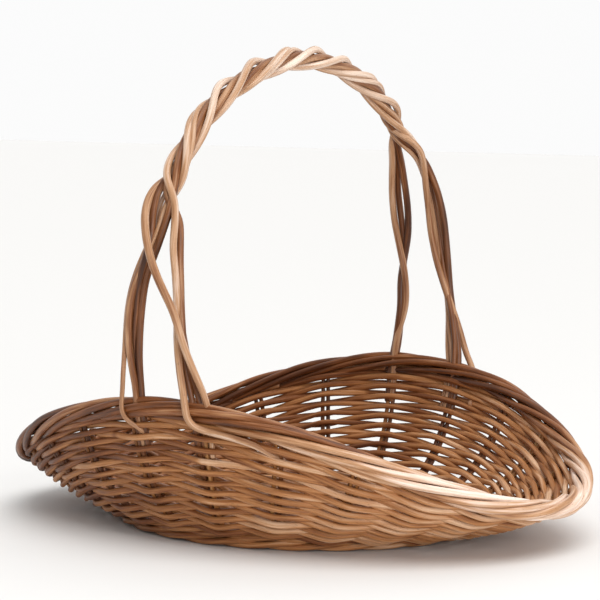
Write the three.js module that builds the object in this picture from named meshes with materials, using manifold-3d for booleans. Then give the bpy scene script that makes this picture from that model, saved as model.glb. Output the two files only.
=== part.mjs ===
// Oval willow market basket: bottom sticks, base weave, foot wale, stakes, randed siding,
// border rods and an overarm rope handle. Millimetres, +Z up, X along the long axis.
// The origin is the middle of the base, on the plane that the basket rests on.
import * as THREE from 'three';
import { mergeVertices } from 'three/addons/utils/BufferGeometryUtils.js';
import Module from 'manifold-3d';

// Driving dimensions.
const RIM = { halfLength: 237, halfWidth: 164, sideHeight: 110, endHeight: 37, saddle: 2.3 };
const BASE = { halfLength: 138, halfWidth: 114, middleZ: 7, thickness: 12, inset: 4, stickEndGap: 14 };
const BULGE = { end: 0.58, side: 0.81, rise: 0.25 };
const FOOT = { inset: 3.7, overhang: 9, height: 12 };
const STAKE = { count: 24, halfWidth: 4.4, halfThick: 2.1, tail: 8, top: 0.985, steps: 7, boreStations: 4 };
const FAR_SKEW = THREE.MathUtils.degToRad(4);
const WEAVER = { rows: 14, halfSize: 1.9, clearance: 0.55, first: 0.15, last: 0.87 };
const BORDER = { middle: 0.955, halfHeight: 5.6, width: 6.2 };
const LONG_STICK = { angles: [-15, 0, 15], pitch: 6.2, bendAt: 38, width: 5.4, thickness: 4 };
const CROSS_STICK = { angles: [150, 120, 90, 60, 30], pitch: 15, bendAt: 14, width: 6, halfHeight: 2.6 };
const CROSS_SWELL = { halfLength: 10.5, halfHeight: 4.9, endHalfHeight: 2.8, width: 6.6 };
const CROSS_SLIT = { halfLength: 9.4, halfHeight: 2.4 };
const ARCH = { height: 355, riseShape: 0.78, spanShape: 1.1, bulge: 0.115, nearBulge: 0.045 };
const ROPE = { radius: 3.35, offset: 5.15, firstAngle: 135, turns: 3.5, steps: 48, corners: 5 };
const STRANDS = 4;
const JOIN = { nearHeight: 225, farHeight: 290 };
const LEG = { steps: 5, ease: 1.3, taper: 0.3, innerScale: 0.63, outerScale: 0.8, radius: 2.1 };
const LEG_TAIL = { inner: [0.55, 0.7, 0.85], outer: [[0.84, 10.4], [0.9, 12.2]], outerOut: 12.2 };
const GAP = 0.35;

const TURN = 2 * Math.PI;
const WEAVE_OFFSET = STAKE.halfThick + WEAVER.halfSize + WEAVER.clearance;
const BORDER_OFFSET = STAKE.halfThick + GAP + BORDER.width / 2;
const X_AXIS = new THREE.Vector3(1, 0, 0);
const Z_AXIS = new THREE.Vector3(0, 0, 1);

// Colours of the willow rods where light falls on them and where they are older or shaded.
const WILLOW = {
  handle: 0xc8a283,
  border: 0xb88c6a,
  siding: 0x96684a,
  stake: 0x85593c,
  base: 0x7a4f34,
};

const group = new THREE.Group();

function addPiece(name, geometry, colour) {
  const material = new THREE.MeshStandardMaterial({ color: colour, roughness: 0.55, metalness: 0 });
  const mesh = new THREE.Mesh(geometry, material);
  mesh.name = name;
  group.add(mesh);
}

const wasm = await Module();
wasm.setup();

function toSolid(geometry) {
  const bare = geometry.clone();
  bare.deleteAttribute('normal');
  bare.deleteAttribute('uv');
  const merged = mergeVertices(bare, 1e-4);
  return new wasm.Manifold(new wasm.Mesh({
    numProp: 3,
    vertProperties: new Float32Array(merged.attributes.position.array),
    triVerts: new Uint32Array(merged.index.array),
  }));
}

function toGeometry(solid) {
  const mesh = solid.getMesh();
  const geometry = new THREE.BufferGeometry();
  geometry.setAttribute('position', new THREE.BufferAttribute(mesh.vertProperties, 3));
  geometry.setIndex(new THREE.BufferAttribute(mesh.triVerts, 1));
  return geometry;
}

function cut(geometry, cutters) {
  let solid = toSolid(geometry);
  for (const cutter of cutters) {
    solid = solid.subtract(toSolid(cutter));
  }
  return toGeometry(solid);
}

function join(geometries) {
  const [first, ...others] = geometries.map(toSolid);
  return toGeometry(others.reduce((whole, solid) => whole.add(solid), first));
}

// A rod's path through given points. Each point carries a side direction, which the section's
// first axis follows, and a scale for its section.
class RodPath extends THREE.Curve {
  constructor(stations) {
    super();
    this.stations = stations;
  }

  getPoint(t, target = new THREE.Vector3()) {
    const last = this.stations.length - 1;
    return target.copy(this.stations[Math.round(t * last)].point);
  }

  getPointAt(u, target) {
    return this.getPoint(u, target);
  }

  computeFrenetFrames(segments) {
    const frames = { tangents: [], normals: [], binormals: [] };
    for (let i = 0; i <= segments; i++) {
      const before = this.stations[Math.max(i - 1, 0)].point;
      const after = this.stations[Math.min(i + 1, segments)].point;
      const tangent = after.clone().sub(before).normalize();
      const { side, scale } = this.stations[i];
      const normal = side.clone().addScaledVector(tangent, -side.dot(tangent)).normalize();
      const binormal = tangent.clone().cross(normal);
      frames.tangents.push(tangent);
      frames.normals.push(normal.multiplyScalar(scale));
      frames.binormals.push(binormal.multiplyScalar(scale));
    }
    return frames;
  }
}

function station(point, side, scale = 1) {
  return { point, side, scale };
}

function polygon(points) {
  return new THREE.Shape(points.map(([x, y]) => new THREE.Vector2(x, y)));
}

function boxSection(halfSide, halfOther) {
  const right = [[halfSide, -halfOther], [halfSide, halfOther]];
  const left = [[-halfSide, halfOther], [-halfSide, -halfOther]];
  return polygon([...right, ...left]);
}

function roundSection(radius, corners) {
  const angles = Array.from({ length: corners }, (_, i) => TURN * i / corners);
  return polygon(angles.map((angle) => [radius * Math.cos(angle), radius * Math.sin(angle)]));
}

function rod(stations, section) {
  const path = new RodPath(stations);
  return new THREE.ExtrudeGeometry(section, { steps: stations.length - 1, extrudePath: path });
}

// The point at a share of a curve's length, found along short straight pieces of it.
const LENGTH_SAMPLES = 60;
function byLength(curve, share) {
  const points = Array.from({ length: LENGTH_SAMPLES + 1 }, (_, i) => curve(i / LENGTH_SAMPLES));
  const lengths = [0];
  for (let i = 1; i <= LENGTH_SAMPLES; i++) {
    lengths.push(lengths[i - 1] + points[i].distanceTo(points[i - 1]));
  }
  const wanted = share * lengths[LENGTH_SAMPLES];
  let i = 1;
  while (i < LENGTH_SAMPLES && lengths[i] < wanted) {
    i++;
  }
  const part = (wanted - lengths[i - 1]) / (lengths[i] - lengths[i - 1]);
  return curve((i - 1 + part) / LENGTH_SAMPLES);
}

// The middle surface of the wall. In each radial plane it is a quadratic curve from the base's
// edge, out at first and then up, to the saddle-shaped rim. height runs from 0 to 1.
function wallCurve(angle, height) {
  const side = Math.abs(Math.sin(angle)) ** RIM.saddle;
  const rimZ = THREE.MathUtils.lerp(RIM.endHeight, RIM.sideHeight, side);
  const bulge = THREE.MathUtils.lerp(BULGE.end, BULGE.side, side);
  const middle = 2 * height * (1 - height);
  const flare = middle * bulge + height * height;
  const rise = middle * BULGE.rise + height * height;
  return new THREE.Vector3(
    Math.cos(angle) * THREE.MathUtils.lerp(BASE.halfLength, RIM.halfLength, flare),
    Math.sin(angle) * THREE.MathUtils.lerp(BASE.halfWidth, RIM.halfWidth, flare),
    BASE.middleZ + (rimZ - BASE.middleZ) * rise,
  );
}

// The same surface by share of its path length from the base's edge to the rim.
function wallPoint(angle, share) {
  return byLength((height) => wallCurve(angle, height), share);
}

// Directions on the wall: along it and outwards, with the length along it per radian.
function wallFrame(angle, share) {
  const small = 0.004;
  const along = wallPoint(angle + small, share).sub(wallPoint(angle - small, share));
  const up = wallPoint(angle, share + small).sub(wallPoint(angle, share - small)).normalize();
  const speed = along.length() / (2 * small);
  along.normalize();
  const out = along.clone().cross(up).normalize();
  return { point: wallPoint(angle, share), along, out, speed };
}

function onWall(angle, share, along, out) {
  const frame = wallFrame(angle + along / wallFrame(angle, share).speed, share);
  return { point: frame.point.clone().addScaledVector(frame.out, out), frame };
}

// What stands on the far side leans a little towards +X.
function skewed(angle) {
  return angle - FAR_SKEW * Math.max(Math.sin(angle), 0);
}

// Stakes stand at even steps.
function stakeAngle(index) {
  return skewed(TURN * (index + 0.5) / STAKE.count);
}

const stakes = Array.from({ length: STAKE.count }, (_, index) => index);

// A handle leg stands beside each of the two stakes nearest the middle of a long side.
const quarter = STAKE.count / 4;
const LEG_STAKE = {
  farRight: quarter - 1,
  farLeft: quarter,
  nearLeft: 3 * quarter - 1,
  nearRight: 3 * quarter,
};
const legStakes = new Set(Object.values(LEG_STAKE));
const legSpacing = LEG.radius + GAP;

// Base: three long sticks pass through slits in five cross sticks. Away from the crossing both
// fan out to the plate's edge.
function plateShape(inset) {
  const shape = new THREE.Shape();
  shape.absellipse(0, 0, BASE.halfLength - inset, BASE.halfWidth - inset, 0, TURN, false, 0);
  return shape;
}

function flatPiece(shape, bottom, height) {
  const settings = { depth: height, bevelEnabled: false, curveSegments: STAKE.count };
  const geometry = new THREE.ExtrudeGeometry(shape, settings);
  geometry.translate(0, 0, bottom);
  return geometry;
}

function evenPlaces(count, pitch) {
  return Array.from({ length: count }, (_, i) => (i - (count - 1) / 2) * pitch);
}

// The end of a stick that bends at a point and then runs straight towards the plate's edge.
function stickEnd(bend, angle, pastEdge) {
  const edge = new THREE.Vector3(
    Math.cos(skewed(angle)) * (BASE.halfLength - BASE.inset),
    Math.sin(skewed(angle)) * (BASE.halfWidth - BASE.inset),
    BASE.middleZ,
  );
  const way = edge.clone().sub(bend).normalize();
  return edge.addScaledVector(way, pastEdge);
}

// A flat stick through two bends, each with the angle at which that half leaves the crossing.
function bentStick(bends, halfWidth, halfHeight, pastEdge) {
  const [first, last] = bends;
  const points = [
    stickEnd(first.point, first.angle, pastEdge),
    first.point,
    last.point,
    stickEnd(last.point, last.angle, pastEdge),
  ];
  return rod(points.map((point) => station(point, Z_AXIS)), boxSection(halfHeight, halfWidth));
}

function longStick(index, grow, pastEdge) {
  const place = evenPlaces(LONG_STICK.angles.length, LONG_STICK.pitch)[index];
  const angle = THREE.MathUtils.degToRad(LONG_STICK.angles[index]);
  const bends = [
    { point: new THREE.Vector3(-LONG_STICK.bendAt, place, BASE.middleZ), angle: Math.PI - angle },
    { point: new THREE.Vector3(LONG_STICK.bendAt, place, BASE.middleZ), angle },
  ];
  const halfWidth = LONG_STICK.width / 2 + grow;
  return bentStick(bends, halfWidth, LONG_STICK.thickness / 2 + grow, pastEdge);
}

// A cross stick's middle is swollen, where it is slit. Its outline lies in the YZ plane.
function crossMiddle(place, grow) {
  const end = CROSS_STICK.bendAt + grow;
  const top = [
    [end, CROSS_SWELL.endHalfHeight + grow],
    [CROSS_SWELL.halfLength + grow, CROSS_SWELL.halfHeight + grow],
    [-CROSS_SWELL.halfLength - grow, CROSS_SWELL.halfHeight + grow],
    [-end, CROSS_SWELL.endHalfHeight + grow],
  ];
  const outline = polygon([...top, ...top.map(([y, z]) => [-y, -z])]);
  const width = CROSS_SWELL.width + 2 * grow;
  const geometry = new THREE.ExtrudeGeometry(outline, { depth: width, bevelEnabled: false });
  geometry.rotateX(Math.PI / 2);
  geometry.rotateZ(Math.PI / 2);
  geometry.translate(place - width / 2, 0, BASE.middleZ);
  return geometry;
}

function crossStick(index, grow, pastEdge) {
  const place = evenPlaces(CROSS_STICK.angles.length, CROSS_STICK.pitch)[index];
  const angle = THREE.MathUtils.degToRad(CROSS_STICK.angles[index]);
  const bends = [
    { point: new THREE.Vector3(place, -CROSS_STICK.bendAt, BASE.middleZ), angle: -angle },
    { point: new THREE.Vector3(place, CROSS_STICK.bendAt, BASE.middleZ), angle },
  ];
  const halfWidth = CROSS_STICK.width / 2 + grow;
  const arms = bentStick(bends, halfWidth, CROSS_STICK.halfHeight + grow, pastEdge);
  return join([crossMiddle(place, grow), arms]);
}

// The room between the halves of the cross sticks, through which the long sticks pass.
function slitRoom(halfLong) {
  const room = new THREE.BoxGeometry(
    2 * halfLong,
    2 * CROSS_SLIT.halfLength,
    2 * CROSS_SLIT.halfHeight,
  );
  room.translate(0, 0, BASE.middleZ);
  return room;
}

function slitCrossStick(index) {
  return cut(crossStick(index, 0, -BASE.stickEndGap), [slitRoom(LONG_STICK.bendAt)]);
}

// A stake's tail is pushed into the base weave; from there it turns up and follows the wall.
// A stake beside a handle leg is a single rod, narrower and to one side.
function stakeStations(index, extraTail) {
  const angle = stakeAngle(index);
  const sideways = legStakes.has(index) ? -legSpacing : 0;
  const foot = onWall(angle, 0, sideways, 0);
  const inwards = new THREE.Vector3(-foot.point.x, -foot.point.y, 0).normalize();
  const tailLength = BASE.inset + STAKE.tail + extraTail;
  const tail = foot.point.clone().addScaledVector(inwards, tailLength);
  const stations = [station(tail, foot.frame.along)];
  for (let i = 0; i <= STAKE.steps; i++) {
    const { point, frame } = onWall(angle, STAKE.top * i / STAKE.steps, sideways, 0);
    stations.push(station(point, frame.along));
  }
  return stations;
}

function stakeSection(index, grow) {
  const halfWidth = legStakes.has(index) ? LEG.radius : STAKE.halfWidth;
  return boxSection(halfWidth + grow, STAKE.halfThick + grow);
}

function stake(index) {
  return rod(stakeStations(index, 0), stakeSection(index, 0));
}

// The room that a stake takes in the base and the foot, with a gap all round.
function stakeBore(index) {
  const lowStations = stakeStations(index, GAP).slice(0, STAKE.boreStations);
  return rod(lowStations, stakeSection(index, GAP));
}

const stakeBores = stakes.map(stakeBore);

// The woven plate, with tunnels for the sticks, open at its edge.
function baseWeave() {
  const plate = flatPiece(plateShape(BASE.inset), BASE.middleZ - BASE.thickness / 2, BASE.thickness);
  const tunnelPast = FOOT.overhang;
  const longTunnels = LONG_STICK.angles.map((_, i) => longStick(i, GAP, tunnelPast));
  const crossTunnels = CROSS_STICK.angles.map((_, i) => crossStick(i, GAP, tunnelPast));
  return cut(plate, [slitRoom(LONG_STICK.bendAt), ...longTunnels, ...crossTunnels, ...stakeBores]);
}

function footWale() {
  const ring = plateShape(-FOOT.overhang);
  ring.holes.push(plateShape(FOOT.inset));
  return cut(flatPiece(ring, 0, FOOT.height), stakeBores);
}

// A rod that runs once round the basket. Its two ends meet beside the first stake.
function roundRod(share, outAt, halfOut, halfUp) {
  const at = (index, along) => {
    const { point, frame } = onWall(stakeAngle(index), share, along, outAt(index));
    return station(point, frame.out);
  };
  const passes = stakes.slice(1).flatMap((index) => [
    at(index, -STAKE.halfWidth),
    at(index, STAKE.halfWidth),
  ]);
  const start = [at(0, GAP), at(0, STAKE.halfWidth)];
  const end = [at(0, -STAKE.halfWidth), at(0, -GAP)];
  return rod([...start, ...passes, ...end], boxSection(halfOut, halfUp));
}

// A row of siding passes outside one stake and inside the next; the next row does the opposite.
function sidingRow(row) {
  const share = THREE.MathUtils.lerp(WEAVER.first, WEAVER.last, row / (WEAVER.rows - 1));
  const outAt = (index) => ((index + row) % 2 === 0 ? WEAVE_OFFSET : -WEAVE_OFFSET);
  return roundRod(share, outAt, WEAVER.halfSize, WEAVER.halfSize);
}

function borderRod(out) {
  return roundRod(BORDER.middle, () => out, BORDER.width / 2, BORDER.halfHeight);
}

// Handle: the middle line of the arch, from the near side over to the far side. Its sides bulge
// out past the rim.
function rimPoint(index) {
  return wallPoint(stakeAngle(index), 1);
}

const nearMiddle = rimPoint(LEG_STAKE.nearLeft).add(rimPoint(LEG_STAKE.nearRight)).multiplyScalar(0.5);
const farMiddle = rimPoint(LEG_STAKE.farLeft).add(rimPoint(LEG_STAKE.farRight)).multiplyScalar(0.5);

function archPoint(turn) {
  const cosine = Math.cos(turn);
  const bulge = (ARCH.bulge + ARCH.nearBulge * cosine) * Math.sin(2 * turn);
  const across = Math.sign(cosine) * Math.abs(cosine) ** ARCH.spanShape + bulge;
  const rise = Math.max(Math.sin(turn), 0) ** ARCH.riseShape;
  const point = farMiddle.clone().lerp(nearMiddle, (1 + across) / 2);
  point.z += (ARCH.height - point.z) * rise;
  return point;
}

function turnAtHeight(height) {
  const rise = (height - nearMiddle.z) / (ARCH.height - nearMiddle.z);
  return Math.asin(rise ** (1 / ARCH.riseShape));
}

const nearTurn = turnAtHeight(JOIN.nearHeight);
const farTurn = Math.PI - turnAtHeight(JOIN.farHeight);

function archFrame(turn) {
  const small = 0.01;
  const along = archPoint(turn + small).sub(archPoint(turn - small)).normalize();
  return { point: archPoint(turn), out: X_AXIS.clone().cross(along).normalize() };
}

// A strand keeps its place beside the arch's middle line while it turns round it.
function besideArch(turn, angle) {
  const { point, out } = archFrame(turn);
  point.addScaledVector(X_AXIS, ROPE.offset * Math.cos(angle));
  return point.addScaledVector(out, ROPE.offset * Math.sin(angle));
}

function ropeStations(startAngle) {
  const turns = Array.from({ length: ROPE.steps + 1 }, (_, i) => i / ROPE.steps);
  return turns.map((share) => {
    const place = byLength((part) => {
      const turn = THREE.MathUtils.lerp(nearTurn, farTurn, part);
      const point = archPoint(turn);
      point.turn = turn;
      return point;
    }, share);
    return station(besideArch(place.turn, startAngle + TURN * ROPE.turns * share), X_AXIS);
  });
}

// A leg, from its tail in the wall up to the rope. An inner strand goes down into the siding
// beside its stake; an outer strand goes down outside the border.
function legStations(stakeIndex, inner, joinTurn, joinAngle) {
  const angle = stakeAngle(stakeIndex);
  const tailScale = inner ? LEG.innerScale : LEG.outerScale;
  const tail = inner ? LEG_TAIL.inner.map((share) => [share, 0]) : LEG_TAIL.outer;
  const stations = tail.map(([share, out]) => {
    return station(onWall(angle, share, legSpacing, out).point, X_AXIS, tailScale);
  });
  const foot = onWall(angle, 1, legSpacing, inner ? 0 : LEG_TAIL.outerOut).point;
  const footTurn = joinTurn < Math.PI / 2 ? 0 : Math.PI;
  const footShift = foot.sub(archPoint(footTurn));
  const joinShift = besideArch(joinTurn, joinAngle).sub(archPoint(joinTurn));
  for (let i = 0; i < LEG.steps; i++) {
    const part = i / LEG.steps;
    const point = archPoint(THREE.MathUtils.lerp(footTurn, joinTurn, part ** LEG.ease));
    point.add(footShift.clone().lerp(joinShift, part));
    const scale = Math.min(tailScale + (1 - tailScale) * part / LEG.taper, 1);
    stations.push(station(point, X_AXIS, scale));
  }
  return stations;
}

// Four strands: two in each near leg. After the rope's odd number of half turns, the strands of
// the left near leg come down in the right far leg, and the inner one is then the outer one.
function handleStrand(index) {
  const startAngle = THREE.MathUtils.degToRad(ROPE.firstAngle) + TURN * index / STRANDS;
  const endAngle = startAngle + TURN * ROPE.turns;
  const nearStake = Math.cos(startAngle) < 0 ? LEG_STAKE.nearLeft : LEG_STAKE.nearRight;
  const farStake = Math.cos(endAngle) < 0 ? LEG_STAKE.farLeft : LEG_STAKE.farRight;
  const near = legStations(nearStake, Math.sin(startAngle) < 0, nearTurn, startAngle);
  const far = legStations(farStake, Math.sin(endAngle) < 0, farTurn, endAngle);
  const stations = [...near, ...ropeStations(startAngle), ...far.reverse()];
  return rod(stations, roundSection(ROPE.radius, ROPE.corners));
}

LONG_STICK.angles.forEach((_, i) => {
  addPiece(`long_stick_${i + 1}`, longStick(i, 0, -BASE.stickEndGap), WILLOW.base);
});
CROSS_STICK.angles.forEach((_, i) => {
  addPiece(`cross_stick_${i + 1}`, slitCrossStick(i), WILLOW.base);
});
addPiece('base_weave', baseWeave(), WILLOW.base);
addPiece('foot_wale', footWale(), WILLOW.siding);
for (const index of stakes) {
  addPiece(`stake_${index + 1}`, stake(index), WILLOW.stake);
}
for (let row = 0; row < WEAVER.rows; row++) {
  addPiece(`siding_row_${row + 1}`, sidingRow(row), WILLOW.siding);
}
addPiece('border_inner', borderRod(-BORDER_OFFSET), WILLOW.border);
addPiece('border_outer', borderRod(BORDER_OFFSET), WILLOW.border);
for (let index = 0; index < STRANDS; index++) {
  addPiece(`handle_strand_${index + 1}`, handleStrand(index), WILLOW.handle);
}

export default group;
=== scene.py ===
"""Oval market basket woven from buff willow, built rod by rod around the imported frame."""
import logging
import math
from dataclasses import dataclass, field
from enum import Enum
from functools import cache
from typing import Any

import bpy
import numpy as np
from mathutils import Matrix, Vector


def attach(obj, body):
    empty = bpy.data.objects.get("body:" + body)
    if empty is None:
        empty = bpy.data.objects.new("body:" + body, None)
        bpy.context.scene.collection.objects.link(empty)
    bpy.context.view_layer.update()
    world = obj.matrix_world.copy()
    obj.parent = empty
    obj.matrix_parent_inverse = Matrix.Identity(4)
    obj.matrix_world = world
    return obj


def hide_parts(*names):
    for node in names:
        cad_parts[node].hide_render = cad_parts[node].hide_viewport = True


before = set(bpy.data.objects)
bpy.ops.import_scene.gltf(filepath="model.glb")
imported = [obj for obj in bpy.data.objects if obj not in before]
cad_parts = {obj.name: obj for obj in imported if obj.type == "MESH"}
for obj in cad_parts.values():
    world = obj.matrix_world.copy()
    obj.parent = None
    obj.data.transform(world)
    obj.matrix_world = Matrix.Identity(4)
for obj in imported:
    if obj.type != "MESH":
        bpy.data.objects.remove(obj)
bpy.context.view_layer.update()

LOG = logging.getLogger("basket")
MM = 0.001
TURN = 2 * math.pi

Array = np.ndarray
SIDEWAYS = np.array([1.0, 0.0, 0.0])
UPWARDS = np.array([0.0, 0.0, 1.0])


def unit(vectors: Array) -> Array:
    """Scales each vector to a length of one."""
    return vectors / np.linalg.norm(vectors, axis=-1, keepdims=True)


def smooth(x: Array) -> Array:
    """Rises from 0 to 1 with level ends: 3x^2 - 2x^3 of x held between 0 and 1."""
    x = np.clip(x, 0.0, 1.0)
    return x * x * (3 - 2 * x)


def mix(a: Array, b: Array, share: Array) -> Array:
    """A straight mixture of a and b; share 0 gives a, and 1 gives b."""
    return a + (b - a) * share


def wander(rng: np.random.Generator, places: Array, period: float, amount: float) -> Array:
    """A slow wandering along a rod: three sine waves of unlike lengths and chance phases.

    Args:
        rng: The seeded source of chance.
        places: Distance along the rod at each point.
        period: The longest wave's length, in the unit of places.
        amount: The size that the sum of the waves seldom passes.

    Returns:
        The offset at each place.
    """
    paces = (1.0, 1.7, 2.9)
    usual_peak = 1.6
    phases = rng.uniform(0, TURN, len(paces))
    waves = [np.sin(places * TURN * pace / period + phase) / pace for pace, phase in zip(paces, phases)]
    return amount * sum(waves) / usual_peak


def path_lengths(path: Array) -> Array:
    """The distance along a path to each of its points."""
    steps = np.linalg.norm(np.diff(path, axis=0), axis=1)
    return np.concatenate([[0.0], np.cumsum(steps)])


def even_path(path: Array, step: float) -> Array:
    """The same path with its points at even distances."""
    length = path_lengths(path)
    wanted = np.linspace(0, length[-1], max(int(length[-1] / step), 2) + 1)
    return np.stack([np.interp(wanted, length, path[:, axis]) for axis in range(3)], -1)


def eased_path(path: Array, step: float, rounds: int) -> Array:
    """Rounds a path's corners: each point moves to the mean of itself and its neighbours.

    Args:
        path: The corner points.
        step: The distance between the finished path's points.
        rounds: How many times the points move; the ends stay.

    Returns:
        The eased path.
    """
    path = even_path(path, step)
    for _ in range(rounds):
        path[1:-1] = (path[:-2] + 2 * path[1:-1] + path[2:]) / 4
    return path


@dataclass(frozen=True)
class PaintedLight:
    """Painted light and shade added to the rods' tone: a painted highlight at the top of the arch, painted
    light at the +X end, and a little painted shade on the far side.

    Attributes:
        length: How much paler the +X end is than the middle: painted light, for the light from the right.
        width: How much paler the far side is than the middle; below 0 it is painted shade.
        top: How much paler the arch's top is than its feet: a painted highlight, for light from above.
        half_length: The distance in X at which the first holds.
        half_width: The distance in Y at which the second holds.
        foot: The height from which the third grows.
        rise: The height over which it grows.
        shape: The power that shapes its growth.
    """

    length: float = 0.22
    width: float = -0.02
    top: float = 0.31
    half_length: float = 237.0
    half_width: float = 164.0
    foot: float = 180.0
    rise: float = 175.0
    shape: float = 1.5

    def tone(self, path: Array) -> Array:
        """The painted light's tone to add at each point: shares of X and Y, plus a power of the height."""
        high = np.clip((path[:, 2] - self.foot) / self.rise, 0, 1) ** self.shape
        ends = self.length * path[:, 0] / self.half_length
        sides = self.width * path[:, 1] / self.half_width
        return ends + sides + self.top * high


# Painted light and shade that Rod.make adds to every rod's tone.
PAINTED_LIGHT = PaintedLight()


@dataclass
class Rod:
    """One willow rod: a round section carried along a path, all in millimetres.

    Attributes:
        path: The middle line, one row for each point.
        radius: The radius at each point.
        side: The direction that the section's first axis keeps to, at each point.
        tone: How pale the rod is at each point, from 0 to 1.
    """

    path: Array
    radius: Array
    side: Array
    tone: Array

    @classmethod
    def make(cls, path: Array, radius: float | Array, side: Array, tone: float | Array) -> "Rod":
        """A rod whose radius, side and tone may each be one value for the whole length.

        Args:
            path: The middle line's points.
            radius: The radius, or the radius at each point.
            side: The section's first direction, or that at each point.
            tone: How pale the rod's own colour is, or is at each point; painted light and shade are added to
                it.

        Returns:
            The rod, with painted light and shade added to its tone.
        """
        count = len(path)
        return cls(
            path,
            np.broadcast_to(np.asarray(radius, float), (count,)),
            np.broadcast_to(np.asarray(side, float), (count, 3)),
            # Painted light and shade, from the arch's height and the basket's ends, join the tone here.
            np.broadcast_to(np.asarray(tone, float), (count,)) + PAINTED_LIGHT.tone(path),
        )


@dataclass
class RodMesh:
    """Collects swept rods and turns them into one Blender object.

    Attributes:
        corners: How many corners a rod's section has.
        cap_reach: How far the smaller ring at each end stands out, in radii.
        cap_ring: That ring's radius, in radii.
        tip_reach: How far the tip stands out from that ring, in radii.
        vertices: The points of each rod so far.
        quads: The four-sided faces of each rod.
        tips: The three-sided faces at the ends of each rod.
        tones: The tone at each point.
        places: The grain pattern's coordinates at each point.
        total: How many points there are so far.
    """

    corners: int = 10
    cap_reach: float = 0.45
    cap_ring: float = 0.7
    tip_reach: float = 0.2
    vertices: list[Array] = field(default_factory=list)
    quads: list[Array] = field(default_factory=list)
    tips: list[Array] = field(default_factory=list)
    tones: list[Array] = field(default_factory=list)
    places: list[Array] = field(default_factory=list)
    total: int = 0

    def add(self, rod: Rod, shift: float) -> None:
        """Sweeps one rod and rounds off its two ends.

        The surface is the path plus the radius times (cos a N + sin a B), where N and B span
        the plane across the path. Each end gets one smaller ring and a tip.

        Args:
            rod: The rod.
            shift: How far the grain pattern is moved, so that no two rods share it.
        """
        tangent = unit(np.gradient(rod.path, axis=0))
        ends = rod.radius[[0, -1], None] * tangent[[0, -1]]
        first = rod.path[0] - self.cap_reach * ends[0]
        last = rod.path[-1] + self.cap_reach * ends[1]
        path = np.vstack([first, rod.path, last])
        end_radii = self.cap_ring * rod.radius[[0, -1]]
        radius = np.concatenate([end_radii[:1], rod.radius, end_radii[1:]])
        repeat = np.r_[0, np.arange(len(rod.path)), len(rod.path) - 1]
        tangent = tangent[repeat]
        side = rod.side[repeat]
        normal = unit(side - (side * tangent).sum(1, keepdims=True) * tangent)
        binormal = np.cross(tangent, normal)
        angle = np.arange(self.corners) * TURN / self.corners
        cosine, sine = np.cos(angle), np.sin(angle)
        across = cosine[None, :, None] * normal[:, None] + sine[None, :, None] * binormal[:, None]
        grid = path[:, None] + radius[:, None, None] * across
        tip_points = np.array([first - self.tip_reach * ends[0], last + self.tip_reach * ends[1]])
        self.vertices.append(np.vstack([grid.reshape(-1, 3), tip_points]))
        tone = rod.tone[repeat]
        self.tones.append(np.concatenate([np.repeat(tone, self.corners), tone[[0, -1]]]))
        length = np.repeat(path_lengths(path)[:, None], self.corners, axis=1)
        wide = radius[:, None]
        grain = np.stack([wide * cosine + shift, wide * sine - shift, length + 7 * shift], -1)
        tip_grain = np.array([[shift, -shift, 7 * shift], [shift, -shift, length[-1, 0] + 7 * shift]])
        self.places.append(np.vstack([grain.reshape(-1, 3), tip_grain]))
        self.add_faces(len(path))

    def add_faces(self, rings: int) -> None:
        """Joins each ring to the next with quads, and each end ring to its tip with triangles."""
        index = self.total + np.arange(rings * self.corners).reshape(rings, self.corners)
        after = np.roll(index, -1, axis=1)
        self.quads.append(np.stack([index[:-1], after[:-1], after[1:], index[1:]], -1).reshape(-1, 4))
        first_tip = self.total + rings * self.corners
        start = np.stack([after[0], index[0], np.full(self.corners, first_tip)], -1)
        end = np.stack([index[-1], after[-1], np.full(self.corners, first_tip + 1)], -1)
        self.tips.append(np.vstack([start, end]))
        self.total += rings * self.corners + 2

    def to_object(self, name: str) -> bpy.types.Object:
        """Makes the Blender object, smooth shaded, with the tone and grain attributes."""
        mesh = bpy.data.meshes.new(name)
        faces = np.vstack(self.quads).tolist() + np.vstack(self.tips).tolist()
        mesh.from_pydata((np.vstack(self.vertices) * MM).tolist(), [], faces)
        tone = mesh.attributes.new("tone", "FLOAT", "POINT")
        tone.data.foreach_set("value", np.concatenate(self.tones))
        grain = mesh.attributes.new("grain", "FLOAT_VECTOR", "POINT")
        grain.data.foreach_set("vector", np.vstack(self.places).ravel())
        mesh.polygons.foreach_set("use_smooth", np.ones(len(mesh.polygons), bool))
        mesh.update()
        obj = bpy.data.objects.new(name, mesh)
        bpy.context.scene.collection.objects.link(obj)
        return obj


class Finish(Enum):
    """The finishes of the basket's rods, by the record's material slots."""

    SIDING = "siding_willow"
    STAKE = "stake_willow"
    BORDER = "border_willow"
    HANDLE = "handle_willow"
    BASE = "base_willow"


class Grain(Enum):
    """The willow's patterns: the size across the rod and along it in mm, and the detail."""

    STREAKS = (0.9, 26.0, 3.0)
    PATCHES = (5.0, 60.0, 2.0)
    FLECKS = (0.8, 3.2, 1.0)
    RIDGES = (0.55, 14.0, 2.0)


@dataclass(frozen=True)
class Effect:
    """What a pattern does: its values from low to high become the values from weak to strong."""

    grain: Grain
    low: float
    high: float
    weak: float
    strong: float

    def inputs(self) -> dict[str, float]:
        """The values of a Map Range node's inputs."""
        return {"From Min": self.low, "From Max": self.high, "To Min": self.weak, "To Max": self.strong}


def linear(hex_colour: str) -> tuple[float, float, float, float]:
    """Turns an sRGB hex colour into the linear values that a shader takes.

    Args:
        hex_colour: A hash sign and six hex digits.

    Returns:
        Linear red, green and blue from 0 to 1, and full alpha.
    """
    values = [int(hex_colour[i : i + 2], 16) / 255 for i in (1, 3, 5)]
    parts = [v / 12.92 if v <= 0.04045 else ((v + 0.055) / 1.055) ** 2.4 for v in values]
    return (*parts, 1.0)


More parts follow.
